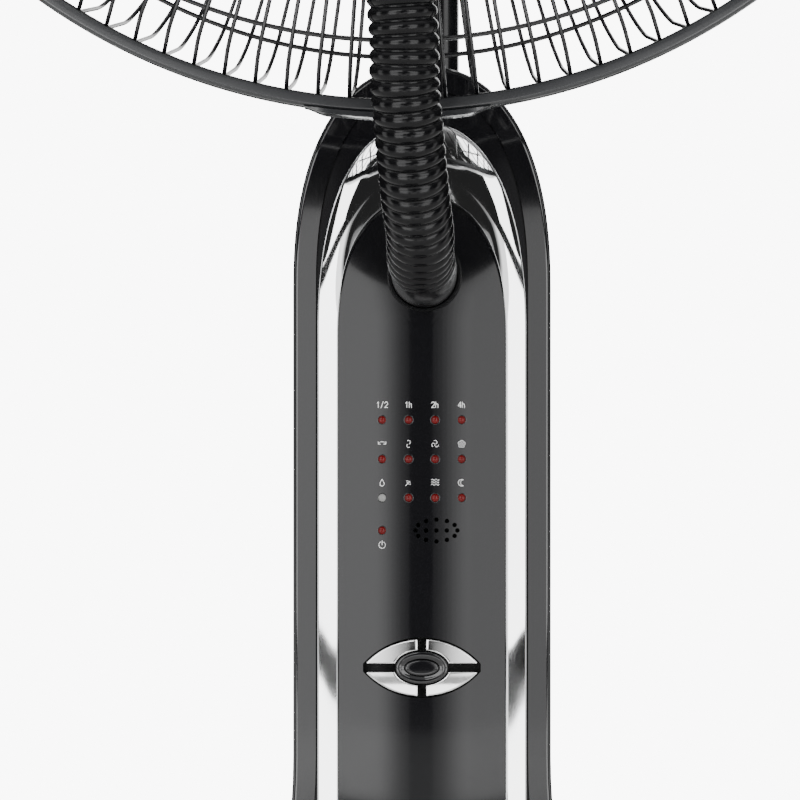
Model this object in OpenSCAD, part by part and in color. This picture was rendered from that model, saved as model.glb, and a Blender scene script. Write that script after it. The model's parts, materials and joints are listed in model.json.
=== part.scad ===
// Misting pedestal fan: floor base, tank housing, arch-topped control column, pole and oscillating head.
// Millimetres. X is to the right, Y is to the back, Z is up. The origin is on the floor under the pole.

/* [Stand] */
// Radius of the round floor base
base_r = 200; // [180:5:220]
// Height of the middle of the base
base_h = 36; // [34:1:40]
// Width of the tank housing
housing_w = 236; // [230:2:250]
// Height of the tank housing's top above the floor
housing_top = 330; // [325:1:335]
// Wall of the plastic shells
wall = 3; // [2.5:0.5:3]
// Outer radius of the pole
pole_r = 14; // [13.5:0.1:14]

/* [Control column] */
// Width of the column
column_w = 97.6; // [97:0.2:99]
// Height of the top of the column's arch
column_top = 876.5; // [876:0.5:880]
// Height of the front panel's arch
panel_top = 824.6; // [824:0.2:826]
// Width of the front panel
panel_w = 62.8; // [62:0.2:63]
// Height of the trim's arch
trim_top = 855; // [854:0.5:856]
// Width of the trim
trim_w = 79; // [78:0.5:80]
// Height of the middle of the keys
keys_z = 649; // [647:1:651]

/* [Head] */
// Height of the fan's axis
fan_z = 1074; // [1072:1:1076]
// Sideways offset of the motor's axis from the pole
fan_x = -8; // [-8:0.5:-6]
// Outer radius of the guard's ring band
ring_r = 222; // [222:0.5:224]
// Radius of the blade
blade_r = 187; // [180:1:188]
// Wire diameter of the guards
wire_d = 1.6; // [1.4:0.1:2]
// Wires in each guard
wires = 60; // [40:4:60]

/* [Hidden] */

// Fit and clearance
slack = 0.3;
run = 0.05;
round_fn = 96;
// Column depths, front face negative
front_y = -48;
split_y = 0;
back_y = 45;
panel_y = -50;
// Heights where the column starts to widen and where its arch starts
flare_z = 615;
arch_n = 2.3;
flare_half = 104;
arch_rise = 84;
trim_rise = 80;
panel_rise = 51;
// Tank housing depths
housing_front = -96;
housing_back = 150;
housing_r = 42;
// Removable tank
tank_w = 180;
tank_front = 57;
tank_back = 141;
tank_low = 72;
tank_high = 338;
// Mist path
duct_y = -28;
duct_r = 10;
hose_r = 12.25;
socket = [1, -50, 797];
// Head depths
ring_y = -122;
rim_r = 218;
ring_half = 6;
motor_r = 36;
tilt_z = 992;
post_r = 6;
// Centre of the oscillation crank, under the gearbox
crank_at = [fan_x, 42];
crank_off = 8;
// Centre line of the nozzle's socket
nozzle_y = -185;
// Guard wire outlines as [distance from the axis, depth]
front_line = [[216.6, -124], [208, -141.5], [192.3, -146.4], [42, -167.3]];
rear_line = [[216.6, -120], [210, -79], [198, -62], [59, -52]];

// Route of the mist hose, from the panel's socket to the nozzle
hose_route = [
    [1, -52, 797], [1, -58.5, 797], [1, -75, 797.5], [1, -90, 798.8], [0, -103, 801.5],
    [0, -113, 805], [0, -123, 810], [-1, -133, 817.5], [-2, -142, 827], [-3, -149, 838],
    [-4, -154.5, 849], [-5, -158.5, 861], [-5, -161, 874], [-6, -163, 890], [-6, -165.5, 910],
    [-7, -169, 932], [-7, -172.5, 955], [-7, -176, 980], [-8, -179.8, 1005], [-8, -183.4, 1028],
    [-8, -184.8, 1040], [-8, -185, 1050.5]];

// One quarter of a superellipse arch, from its right foot to its apex
function arch_side(half, rise, top, n) =
    [for (i = [0 : n]) let (a = 90 * i / n)
        [half * pow(cos(a), 2 / arch_n), top - rise + rise * pow(sin(a), 2 / arch_n)]];

// Smooth step from 0 to 1
function ease(t) = t * t * (3 - 2 * t);

// Right side of the column's outline, from the housing up to the apex
function column_side(off) = concat(
    [for (i = [0 : 12]) let (z = housing_top + (flare_z - housing_top) * i / 12)
        [column_w / 2 + (flare_half - column_w / 2) * ease(1 - i / 12) - off, z]],
    arch_side(column_w / 2 - off, arch_rise - off, column_top - off, 24));

// Mirrors a right-hand outline to a closed shape
module mirrored(side) {
    n = len(side);
    polygon(concat(side, [for (i = [n - 2 : -1 : 0]) [-side[i][0], side[i][1]]]));
}

// Stands an XZ outline up and gives it a depth from y0 to y1
module slab(y0, y1) {
    translate([0, y1, 0]) rotate([90, 0, 0]) linear_extrude(y1 - y0) children();
}

// An arch with straight legs
module arch(half, rise, top, bottom, n = 20) {
    mirrored(concat([[half, bottom]], arch_side(half, rise, top, n)));
}

// A cylinder along Y, from y0 to y1
module rod_y(r, y0, y1, x = 0, z = 0) {
    translate([x, y0, z]) rotate([-90, 0, 0]) cylinder(r = r, h = y1 - y0, $fn = round_fn);
}

// A cylinder along X, from x0 to x1
module rod_x(r, x0, x1, y = 0, z = 0) {
    translate([x0, y, z]) rotate([0, 90, 0]) cylinder(r = r, h = x1 - x0, $fn = round_fn);
}

// A cylinder along Z, from z0 to z1
module rod_z(r, z0, z1, x = 0, y = 0) {
    translate([x, y, z0]) cylinder(r = r, h = z1 - z0, $fn = round_fn);
}

// A box from its low corner to its high corner
module block(low, high) {
    translate(low) cube(high - low);
}

// A rectangle with round corners between two points
module round_rect(x0, y0, x1, y1, r) {
    translate([x0 + r, y0]) square([x1 - x0 - 2 * r, y1 - y0]);
    translate([x0, y0 + r]) square([x1 - x0, y1 - y0 - 2 * r]);
    for (x = [x0 + r, x1 - r], y = [y0 + r, y1 - r])
        translate([x, y]) circle(r = r, $fn = round_fn);
}

// Turns a profile of [radius, depth] about the fan's axis
module spun() {
    translate([fan_x, 0, fan_z]) rotate([-90, 0, 0]) rotate_extrude($fn = round_fn) children();
}

// ---- Base and pole ----

module base_shell() {
    color("#101012") rotate_extrude($fn = round_fn) polygon([[pole_r + slack, base_h], [178, base_h],
        [190, base_h - 4], [197, base_h - 12], [base_r, base_h - 22], [base_r, 4], [base_r - wall, 4],
        [base_r - wall, base_h - 23], [194, base_h - 14], [188, base_h - 8], [177, base_h - wall - 1],
        [pole_r + slack, base_h - wall - 1]]);
}

module base_bottom() {
    color("#1b1b1d") rod_z(base_r - wall - slack, 4, 7);
}

module base_weight() {
    color("#5c5c5e") difference() {
        rod_z(150, 7, 24);
        rod_z(40, 6, 25);
    }
}

module rubber_feet() {
    color("#0a0a0a") {
        rod_z(22, 0, 4);
        for (a = [0 : 60 : 300])
            rotate([0, 0, a]) rod_z(13, 0, 4, 172);
    }
}

module pole() {
    color("#131315") difference() {
        rod_z(pole_r, 10, tilt_z - 32);
        rod_z(pole_r - 1.5, 9, tilt_z - 31);
    }
}

module pole_flange() {
    color("#2a2a2c") difference() {
        union() {
            rod_z(36, 7, 12);
            rod_z(pole_r + 4, 12, 30);
        }
        rod_z(pole_r + 0.02, 9.9, 31);
    }
}

// ---- Tank housing ----

module tank_housing() {
    half = housing_w / 2;
    color("#131315") difference() {
        translate([0, 0, base_h]) linear_extrude(housing_top - base_h)
            round_rect(-half, housing_front, half, housing_back, housing_r);
        translate([0, 0, base_h - 1]) linear_extrude(housing_top - base_h - wall + 1)
            round_rect(-half + wall, housing_front + wall, half - wall, housing_back - wall, housing_r - wall);
        block([-tank_w / 2 - 2, tank_front - 2, tank_low], [tank_w / 2 + 2, tank_back + 2, housing_top + 1]);
        rod_z(pole_r + slack, housing_top - 5, housing_top + 1);
        rod_z(duct_r + slack, housing_top - 5, housing_top + 1, 0, duct_y);
        rod_y(6, housing_back - 5, housing_back + 1, 70, 60);
    }
}

module cord_inlet() {
    color("#0a0a0a") difference() {
        union() {
            rod_y(5.95, housing_back - wall, housing_back + 4, 70, 60);
            rod_y(9, housing_back + slack / 3, housing_back + 4, 70, 60);
        }
        rod_y(3.5, housing_back - wall - 1, housing_back + 5, 70, 60);
    }
}

module water_basin() {
    color("#d8d8d8") rod_z(3, base_h + 3, base_h + 29, 60, 20);
    color("#d8d8d8") difference() {
        block([-96, -86, base_h + 1], [96, 140, base_h + 30]);
        difference() {
            block([-94, -84, base_h + 3], [94, 138, base_h + 31]);
            rod_z(pole_r + 4, base_h, base_h + 32);
        }
        rod_z(pole_r + slack, base_h, base_h + 31);
    }
}

module ultrasonic_disc() {
    color("#b5893c") {
        rod_z(15, base_h + 3, base_h + 11, 0, -52);
        rod_z(10, base_h + 11, base_h + 13, 0, -52);
    }
}

module mist_chamber() {
    color("#e4e4e4") difference() {
        union() {
            block([-30, -80, base_h + 30.3], [30, -16, base_h + 90]);
            rod_z(duct_r + 2, base_h + 90, base_h + 110, 0, duct_y);
        }
        block([-28, -78, base_h + 29], [28, -18, base_h + 88]);
        rod_z(duct_r + 0.02, base_h + 87, base_h + 111, 0, duct_y);
        rod_x(8, 25, 35, -50, base_h + 60);
    }
}

module blower_housing() {
    z0 = base_h + 40;
    color("#2a2a2c") difference() {
        union() {
            rod_z(26, z0, z0 + 34, 62, -50);
            rod_x(7.9, 30.3, 40, -50, base_h + 60);
        }
        rod_z(24, z0 + 2, z0 + 32, 62, -50);
        rod_x(6.5, 30, 42, -50, base_h + 60);
        rod_z(14, z0 + 30, z0 + 35, 62, -50);
    }
}

module blower_impeller() {
    z0 = base_h + 44;
    color("#3a3a3c") {
        difference() {
            rod_z(20, z0, z0 + 2, 62, -50);
            rod_z(2, z0 - 1, z0 + 3, 62, -50);
        }
        rod_z(6, z0, z0 + 20, 62, -50);
        for (a = [0 : 30 : 330])
            translate([62, -50, z0 + 1]) rotate([0, 0, a]) translate([14, -0.5, 0]) cube([6, 1, 22]);
    }
}

module power_board() {
    color("#1d5a34") {
        block([-100, -70, base_h + 50], [-98.4, 40, base_h + 140]);
        block([-98.4, -40, base_h + 60], [-66, 10, base_h + 100]);
        rod_x(9, -98.4, -72, -55, base_h + 120);
        rod_x(7, -98.4, -78, 25, base_h + 120);
    }
}

// ---- Removable water tank ----

module water_tank() {
    half = tank_w / 2;
    mid = (tank_front + tank_back) / 2;
    color("#6a7a86") difference() {
        translate([0, 0, tank_low]) linear_extrude(tank_high - tank_low)
            round_rect(-half, tank_front, half, tank_back, 18);
        translate([0, 0, tank_low + 2.5]) linear_extrude(tank_high - tank_low - 5)
            round_rect(-half + 2.5, tank_front + 2.5, half - 2.5, tank_back - 2.5, 15.5);
        rod_z(20, tank_low - 1, tank_low + 4, 0, mid);
    }
}

module tank_cap() {
    mid = (tank_front + tank_back) / 2;
    color("#1b1b1d") {
        difference() {
            union() {
                rod_z(26, tank_low - 12, tank_low - 0.05, 0, mid);
                rod_z(19.9, tank_low - 2, tank_low + 6, 0, mid);
            }
            rod_z(5, tank_low - 13, tank_low + 7, 0, mid);
        }
        rod_z(3.5, tank_low - 22, tank_low + 2, 0, mid);
        difference() {
            rod_z(6, tank_low + 1, tank_low + 4, 0, mid);
            rod_z(3.45, tank_low, tank_low + 5, 0, mid);
        }
    }
}

module tank_handle() {
    mid = (tank_front + tank_back) / 2;
    top = tank_high + 0.02;
    color("#1b1b1d") slab(mid - 9, mid + 9) polygon([[-62, top], [-62, top + 16], [-48, top + 30],
        [48, top + 30], [62, top + 16], [62, top], [50, top], [50, top + 12], [43, top + 20],
        [-43, top + 20], [-50, top + 12], [-50, top]]);
}

module float() {
    color("#f0f0ee") difference() {
        rod_z(11, base_h + 12, base_h + 22, 60, 20);
        rod_z(3.2, base_h + 11, base_h + 23, 60, 20);
    }
}

// ---- Control column ----

// The column's inner outline, open at its foot
module column_inside() {
    mirrored(concat([[flare_half - wall, housing_top - 1]], column_side(wall)));
}

// The window in the front shell is behind the panel
module column_front() {
    color("#0c0c0e") difference() {
        slab(front_y, split_y) mirrored(column_side(0));
        slab(front_y + wall, split_y + 1) column_inside();
        slab(front_y - 1, front_y + wall + 1) arch(panel_w / 2 - 2, panel_rise - 2, panel_top - 2, 602);
        rod_z(pole_r + slack, 700, 900);
    }
}

module column_rear() {
    color("#0c0c0e") difference() {
        slab(split_y + 0.02, back_y) mirrored(column_side(0));
        slab(split_y - 1, back_y - wall) column_inside();
        rod_z(pole_r + slack, 700, 900);
    }
}

module chrome_trim() {
    color("#d4d6d8") slab(front_y - 2.6, front_y - 0.02) difference() {
        arch(trim_w / 2, trim_rise, trim_top, 400);
        arch(panel_w / 2 + 0.1, panel_rise + 0.1, panel_top + 0.1, 399);
    }
}

// Centres of the indicator lenses: three columns of modes and the timer
led_columns = [-15, -5, 5, 15];
led_rows = [742.5, 727.7, 713.1];
power_led = [-15, 700.8];
sound_at = [5.5, 700.8];
lens_r = 1.7;

module panel_holes() {
    for (x = led_columns, z = led_rows)
        rod_y(lens_r + run, panel_y - 1, panel_y + 5, x, z);
    rod_y(lens_r + run, panel_y - 1, panel_y + 5, power_led[0], power_led[1]);
    for (a = [0 : 30 : 330])
        rod_y(0.85, panel_y - 1, panel_y + 5, sound_at[0] + 7.9 * cos(a), sound_at[1] + 4.1 * sin(a));
    for (x = [-3.9, 0, 3.9])
        rod_y(0.85, panel_y - 1, panel_y + 5, sound_at[0] + x, sound_at[1]);
}

// Pointed oval that holds the keys, where two circles overlap
module keys_window(grow) {
    half_w = 23 + grow;
    half_h = 11 + grow;
    r = (half_w * half_w + half_h * half_h) / (2 * half_h);
    translate([0, keys_z]) intersection() {
        translate([0, half_h - r]) circle(r = r, $fn = round_fn);
        translate([0, r - half_h]) circle(r = r, $fn = round_fn);
    }
}

// A flat oval from a square and two round ends
module scale_oval(half_w, half_h) {
    square([2 * (half_w - half_h), 2 * half_h], center = true);
    for (s = [-1, 1])
        translate([s * (half_w - half_h), 0]) circle(r = half_h, $fn = round_fn);
}

module control_panel() {
    color("#08080a") difference() {
        slab(panel_y, front_y - 0.02) arch(panel_w / 2, panel_rise, panel_top, 400);
        panel_holes();
        slab(panel_y - 1, front_y + 1) keys_window(slack);
        rod_y(13.7, panel_y - 1, front_y + 1, socket[0], socket[2]);
    }
}

module led_lenses() {
    color("#c01818") for (x = led_columns, z = led_rows)
        if (x > led_columns[0] || z > led_rows[2])
            rod_y(lens_r, panel_y - 0.6, front_y - 0.1, x, z);
}

module power_lens() {
    color("#e8e8e8") rod_y(lens_r, panel_y - 0.6, front_y - 0.1, led_columns[0], led_rows[2]);
    color("#c01818") rod_y(lens_r, panel_y - 0.6, front_y - 0.1, power_led[0], power_led[1]);
}

module key_surround() {
    color("#08080a") difference() {
        slab(panel_y - 0.4, front_y + 1.4) translate([0, keys_z]) scale_oval(10, 6.3);
        slab(panel_y - 1, front_y + 2) translate([0, keys_z]) scale_oval(6.8, 3.3);
    }
}

// One quarter of the key oval, left or right by sx and upper or lower by sz
module quadrant_key(sx, sz) {
    gap = 1.5;
    color("#cfd2d4") slab(panel_y - 1.2, front_y + 0.6) intersection() {
        difference() {
            keys_window(0);
            translate([0, keys_z]) scale_oval(10 + slack, 6.3 + slack);
        }
        translate([sx > 0 ? gap : -30 - gap, sz > 0 ? keys_z + gap : keys_z - 30 - gap]) square(30);
    }
    color("#1b1b1d") rod_y(1.2, front_y + 0.6, front_y + 3.8, sx * 16, keys_z + sz * 5);
}

module off_key() {
    color("#08080a") {
        slab(panel_y - 1.4, front_y + 0.6) translate([0, keys_z]) scale_oval(6.5, 3);
        rod_y(1.2, front_y + 0.6, front_y + 3.8, 0, keys_z);
    }
}

module control_board() {
    color("#1d5a34") {
        block([-26, front_y + 6, 630], [26, front_y + 7.6, 752]);
        for (p = [[-16, -5], [16, -5], [-16, 5], [16, 5], [0, 0]])
            block([p[0] - 3, front_y + 5, keys_z + p[1] - 3], [p[0] + 3, front_y + 6, keys_z + p[1] + 3]);
    }
}

module buzzer() {
    color("#1b1b1d") rod_y(6, front_y + 0.5, front_y + 5.9, sound_at[0], sound_at[1]);
}

module hose_cuff() {
    color("#18181a") difference() {
        union() {
            rod_y(15.7, front_y + 3.2, front_y + 5.2, socket[0], socket[2]);
            rod_y(13.4, panel_y - 4, front_y + 3.2, socket[0], socket[2]);
        }
        rod_y(hose_r + slack, panel_y - 9, front_y - 3, socket[0], socket[2]);
        rod_y(8, front_y - 4, front_y + 6, socket[0], socket[2]);
    }
}

module mist_duct() {
    color("#e4e4e4") difference() {
        union() {
            rod_z(duct_r, base_h + 92, 808, 0, duct_y);
            rod_y(duct_r - 2, duct_y - 14.7, duct_y, socket[0], socket[2]);
        }
        rod_z(duct_r - 1.5, base_h + 91, 806, 0, duct_y);
        rod_y(duct_r - 3.5, duct_y - 15, duct_y, socket[0], socket[2]);
    }
}

// ---- Neck ----

module neck_socket() {
    color("#131315") difference() {
        union() {
            rod_z(17.6, tilt_z - 70, tilt_z - 16);
            block([-17.5, -13, tilt_z - 16], [-10.9, 13, tilt_z]);
            block([10.9, -13, tilt_z - 16], [17.5, 13, tilt_z]);
            rod_x(13, -17.5, -10.9, 0, tilt_z);
            rod_x(13, 10.9, 17.5, 0, tilt_z);
        }
        rod_z(pole_r + 0.02, tilt_z - 71, tilt_z - 31.9);
        rod_x(3 + run, -18, 18, 0, tilt_z);
    }
}

module tilt_pin() {
    color("#9a9c9e") {
        rod_x(3, -20, 20, 0, tilt_z);
        rod_x(6, -22.5, -17.6, 0, tilt_z);
    }
}

module tilt_knob() {
    color("#131315") difference() {
        union() {
            rod_x(14, 20.2, 34, 0, tilt_z);
            for (a = [0 : 45 : 315])
                translate([20.2, 0, tilt_z]) rotate([a, 0, 0]) translate([0, 0, 13]) rod_x(3, 0, 12);
        }
        rod_x(3, 19, 20.1, 0, tilt_z);
    }
}

module neck_block() {
    color("#3c3c3e") difference() {
        union() {
            rod_x(12, -10.6, 10.6, 0, tilt_z);
            block([-10.6, -10, tilt_z], [10.6, 10, tilt_z + 19]);
            rod_z(post_r, tilt_z + 19, tilt_z + 42);
        }
        rod_x(3 + run, -12, 12, 0, tilt_z);
    }
}

// ---- Motor and gearbox ----

module motor_bracket() {
    color("#55575a") difference() {
        union() {
            rod_z(12, tilt_z + 19.3, fan_z - motor_r - 1);
            block([-12, -10, tilt_z + 30], [12, 12, fan_z - motor_r + 4]);
        }
        rod_z(post_r + run, tilt_z + 18, tilt_z + 43);
        rod_y(motor_r + 0.05, -20, 60, fan_x, fan_z);
    }
}

module motor_stator() {
    color("#8a6a3a") difference() {
        union() {
            rod_y(motor_r, -12, 18, fan_x, fan_z);
            rod_y(32, -20, 26, fan_x, fan_z);
        }
        rod_y(21.6, -21, 27, fan_x, fan_z);
        tie_rods(2, -21, 27);
    }
}

module motor_rotor() {
    color("#9a9c9e") {
        rod_y(21, -14, 20, fan_x, fan_z);
        rod_y(4, -114, 34, fan_x, fan_z);
        rod_y(5.5, 34, 46, fan_x, fan_z);
    }
}

// Four rods that hold the motor's end shields together
module tie_rods(r, y0, y1) {
    for (a = [45 : 90 : 315])
        translate([fan_x, 0, fan_z]) rotate([0, a, 0]) rod_y(r, y0, y1, 33.2, 0);
}

module end_shields() {
    color("#77797c") {
        difference() {
            rod_y(motor_r, -28, -20.1, fan_x, fan_z);
            rod_y(9.02, -29, -19, fan_x, fan_z);
        }
        difference() {
            rod_y(motor_r, 26.1, 32, fan_x, fan_z);
            rod_y(9.02, 25, 33, fan_x, fan_z);
        }
        tie_rods(1.8, -20.1, 26.1);
    }
}

module bearings() {
    color("#b5893c") for (y = [[-28, -20.1], [26.1, 32]])
        difference() {
            rod_y(9, y[0], y[1], fan_x, fan_z);
            rod_y(4 + run, y[0] - 1, y[1] + 1, fan_x, fan_z);
        }
}

module gearbox() {
    color("#55575a") difference() {
        block([fan_x - 20, 32.1, fan_z - 22], [fan_x + 20, 54, fan_z + 20]);
        block([fan_x - 17, 31, fan_z - 19], [fan_x + 17, 51, fan_z + 17]);
        rod_z(4, fan_z - 23, fan_z - 18, crank_at[0], crank_at[1]);
    }
}

module crank_disc() {
    color("#b9bbbd") {
        rod_z(8.5, fan_z - 14, fan_z - 9, crank_at[0], crank_at[1]);
        rod_z(3.95, fan_z - 41, fan_z - 13, crank_at[0], crank_at[1]);
        rod_z(12, fan_z - 44, fan_z - 40, crank_at[0], crank_at[1]);
        rod_z(2.5, fan_z - 50, fan_z - 43.9, crank_at[0], crank_at[1] - crank_off);
    }
}

module crank_link() {
    color("#b9bbbd") difference() {
        union() {
            rod_z(6, fan_z - 49, fan_z - 45, crank_at[0], crank_at[1] - crank_off);
            block([crank_at[0] - 4, 18, fan_z - 49], [crank_at[0] + 4, crank_at[1] - crank_off, fan_z - 45]);
        }
        rod_z(2.5 + run, fan_z - 51, fan_z - 43, crank_at[0], crank_at[1] - crank_off);
    }
}

module oscillation_knob() {
    color("#131315") {
        rod_z(3, fan_z + 22, fan_z + 74, crank_at[0], crank_at[1]);
        rod_z(8, fan_z + 74, fan_z + 88, crank_at[0], crank_at[1]);
    }
}

module motor_cover() {
    color("#131315") difference() {
        spun() polygon([[0, 88], [30, 86], [48, 78], [60, 64], [64, 48], [64, -49.4], [30, -49.4], [30, -47],
            [61, -47], [61, 47], [57, 62], [46, 75], [29, 83], [0, 85]]);
        block([-26, -16, tilt_z + 8], [26, 34, fan_z - 45]);
        rod_z(3.3, fan_z + 40, fan_z + 80, crank_at[0], crank_at[1]);
        for (i = [-3 : 3])
            block([fan_x - 20, 75, fan_z + 8 * i - 1.5], [fan_x + 20, 90, fan_z + 8 * i + 1.5]);
    }
}

// ---- Guards and blade ----

// Sideways offset of a polyline at one of its points
function side_step(p, i, d) =
    let (a = p[max(i - 1, 0)], b = p[min(i + 1, len(p) - 1)], v = (b - a) / norm(b - a))
    p[i] + d * [-v[1], v[0]];

// All the wires of one guard, each a bent bar in a plane through the fan's axis
module guard_wires(line) {
    last = len(line) - 1;
    outline = concat([for (i = [0 : last]) side_step(line, i, wire_d / 2)],
        [for (i = [last : -1 : 0]) side_step(line, i, -wire_d / 2)]);
    for (k = [0 : wires - 1])
        translate([fan_x, 0, fan_z]) rotate([0, 360 * (k + 0.5) / wires, 0])
            linear_extrude(wire_d, center = true) polygon(outline);
}

// A wire ring about the fan's axis
module wire_ring(r, y, d) {
    spun() translate([r - d / 2, y - d / 2]) square(d);
}

module rear_guard() {
    color("#151517") {
        guard_wires(rear_line);
        wire_ring(rim_r, -120, 2);
        wire_ring(196, -61.6, 2);
        wire_ring(130, -56.9, 2);
        spun() translate([30, -52.2]) square([32, 2.7]);
    }
}

module front_guard() {
    color("#151517") {
        guard_wires(front_line);
        wire_ring(rim_r, -124, 2);
        wire_ring(198, -145.1, 2);
        wire_ring(120, -156, 2);
        spun() translate([34, -168.3]) square([10, 2]);
    }
}

// The band's channel holds the rim wires of both guards
module guard_ring() {
    low = ring_y - ring_half;
    high = ring_y + ring_half;
    lip = ring_r - 4.4;
    color("#2b2d30") spun() polygon([[lip, low], [ring_r - 1, low], [ring_r, low + 1], [ring_r, high - 1],
        [ring_r - 1, high], [lip, high], [lip, high - 1.2], [ring_r - 1.5, high - 1.2],
        [ring_r - 1.5, low + 1.2], [lip, low + 1.2]]);
}

module ring_clamp() {
    half = 33;
    color("#131315") intersection() {
        spun() polygon([[ring_r + 0.1, ring_y - 8], [ring_r + 3, ring_y - 8], [ring_r + 3, ring_y + 8],
            [ring_r + 0.1, ring_y + 8]]);
        block([fan_x - half, ring_y - 9, fan_z - 240], [fan_x + half, ring_y + 9, fan_z - 200]);
    }
}

module guard_nut() {
    color("#131315") spun() polygon([[10, -56], [44, -56], [48, -52.3], [29.9, -52.3], [29.9, -47.1],
        [10, -47.1]]);
}

module front_badge() {
    color("#131315") difference() {
        spun() polygon([[0, -168.4], [40, -168.4], [40, -171], [34, -175], [0, -176]]);
        rod_z(15.8, fan_z - 60, fan_z - 9.7, fan_x, nozzle_y);
    }
}

module mist_nozzle() {
    color("#18181a") difference() {
        union() {
            rod_y(19, -200, -176.02, fan_x, fan_z);
            rod_z(15.5, fan_z - 32, fan_z - 10, fan_x, nozzle_y);
        }
        rod_y(14, -201, -180, fan_x, fan_z);
        rod_z(hose_r + slack, fan_z - 33, fan_z - 23, fan_x, nozzle_y);
    }
}

// Sweeps a round tube along a route
function route_dir(p, i) =
    let (a = p[max(i - 1, 0)], b = p[min(i + 1, len(p) - 1)]) (b - a) / norm(b - a);
function ring_at(c, d, r, n) =
    let (u = [1, 0, 0] - d * d[0], uu = u / norm(u), v = cross(d, uu))
    [for (k = [0 : n - 1]) c + r * (cos(360 * k / n) * uu + sin(360 * k / n) * v)];

module tube(p, r, n) {
    m = len(p);
    points = [for (i = [0 : m - 1]) each ring_at(p[i], route_dir(p, i), r, n)];
    sides = [for (i = [0 : m - 2], k = [0 : n - 1]) let (l = (k + 1) % n)
        [i * n + k, (i + 1) * n + k, (i + 1) * n + l, i * n + l]];
    ends = [[for (k = [0 : n - 1]) k], [for (k = [n - 1 : -1 : 0]) (m - 1) * n + k]];
    polyhedron(points = points, faces = concat(sides, ends));
}

module mist_hose() {
    color("#121214") tube(hose_route, hose_r, 12);
}

module fan_blade() {
    color("#2c2f33") {
        difference() {
            rod_y(30, -114, -76, fan_x, fan_z);
            rod_y(27, -112, -75, fan_x, fan_z);
            rod_y(4 + 0.02, -120, -70, fan_x, fan_z);
        }
        difference() {
            rod_y(9, -114, -78, fan_x, fan_z);
            rod_y(4 + 0.02, -120, -70, fan_x, fan_z);
        }
        for (a = [0 : 72 : 288])
            translate([fan_x, -94, fan_z]) rotate([0, a, 0]) rotate([0, 0, 24]) translate([0, 1, 0])
                rotate([90, 0, 0]) linear_extrude(2) polygon([[-16, 26], [-38, 60], [-52, 110], [-50, 160],
                    [-30, blade_r - 8], [10, blade_r - 2], [40, blade_r - 14], [48, 150], [40, 100], [24, 60],
                    [16, 26]]);
    }
}

module spinner_nut() {
    color("#131315") spun() polygon([[0, -128], [10, -126], [14, -120], [14, -114.1], [0, -114.1]]);
}

module screws() {
    color("#9a9c9e") for (z = [380, 480, 590, 700], s = [-1, 1])
        rod_y(3.2, back_y + 0.02, back_y + 2, s * 34, z);
}

base_shell();
base_bottom();
base_weight();
rubber_feet();
pole();
pole_flange();
tank_housing();
column_front();
column_rear();
chrome_trim();
control_panel();
led_lenses();
power_lens();
key_surround();
off_key();
quadrant_key(-1, 1);  // key_top_left
quadrant_key(1, 1);  // key_top_right
quadrant_key(-1, -1);  // key_bottom_left
quadrant_key(1, -1);  // key_bottom_right
control_board();
buzzer();
hose_cuff();
mist_duct();
mist_chamber();
water_basin();
ultrasonic_disc();
blower_housing();
blower_impeller();
power_board();
water_tank();
tank_cap();
tank_handle();
float();
cord_inlet();
neck_socket();
tilt_pin();
tilt_knob();
neck_block();
motor_bracket();
motor_stator();
motor_rotor();
end_shields();
bearings();
gearbox();
crank_disc();
crank_link();
oscillation_knob();
motor_cover();
guard_nut();
rear_guard();
front_guard();
guard_ring();
ring_clamp();
front_badge();
mist_nozzle();
mist_hose();
fan_blade();
spinner_nut();
screws();
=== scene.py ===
"""Misting pedestal fan: the looks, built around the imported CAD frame. Metres, +Z up, -Y to the front."""
import json
import math

import bmesh
import bpy
import numpy as np
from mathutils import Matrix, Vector


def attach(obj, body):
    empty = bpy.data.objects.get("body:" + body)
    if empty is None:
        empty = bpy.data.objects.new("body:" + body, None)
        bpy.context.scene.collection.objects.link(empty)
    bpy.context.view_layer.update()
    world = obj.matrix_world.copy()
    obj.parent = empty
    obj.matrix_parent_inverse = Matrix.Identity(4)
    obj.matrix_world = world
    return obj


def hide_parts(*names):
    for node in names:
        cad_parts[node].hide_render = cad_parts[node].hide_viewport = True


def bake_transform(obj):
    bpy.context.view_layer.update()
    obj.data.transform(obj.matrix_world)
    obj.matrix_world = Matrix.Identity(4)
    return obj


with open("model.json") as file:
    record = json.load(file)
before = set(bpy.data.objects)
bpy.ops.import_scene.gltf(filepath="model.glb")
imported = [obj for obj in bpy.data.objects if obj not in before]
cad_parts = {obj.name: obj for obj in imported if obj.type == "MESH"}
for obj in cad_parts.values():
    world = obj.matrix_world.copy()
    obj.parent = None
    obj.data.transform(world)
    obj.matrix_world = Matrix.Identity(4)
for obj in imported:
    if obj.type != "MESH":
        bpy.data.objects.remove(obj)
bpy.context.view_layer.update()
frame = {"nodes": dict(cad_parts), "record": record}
MM = 0.001

# ---- Sizes that repeat the design's, in millimetres ----
# An arch is given by half its width, the height of its top and the rise of its curved part.
COLUMN_HALF, COLUMN_TOP, COLUMN_RISE = 48.8, 876.5, 84.0
TRIM_HALF, TRIM_TOP, TRIM_RISE = 39.5, 855.0, 80.0
PANEL_HALF, PANEL_TOP, PANEL_RISE = 31.4, 824.6, 51.0
ARCH_POWER = 2 / 2.3
FLARE_Z, FLARE_HALF, HOUSING_TOP = 615.0, 104.0, 330.0
COLUMN_FACE = -47.9
PANEL_FOOT = 400.0
HOSE_HOLE_X, HOSE_HOLE_Z = 1, 797
KEYS_Z = 649.0
FAN = Vector((-8.0, 0.0, 1074.0))
RING_R, RING_Y = 222.0, -122.0
OUTLET_Y = -185


def cosd(angle):
    return math.cos(math.radians(angle))


def sind(angle):
    return math.sin(math.radians(angle))


def ease(t):
    """From 0 to 1 with a slow start and a slow end."""
    return t * t * (3 - 2 * t)


def clipped(value):
    return min(1.0, max(0.0, value))


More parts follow.
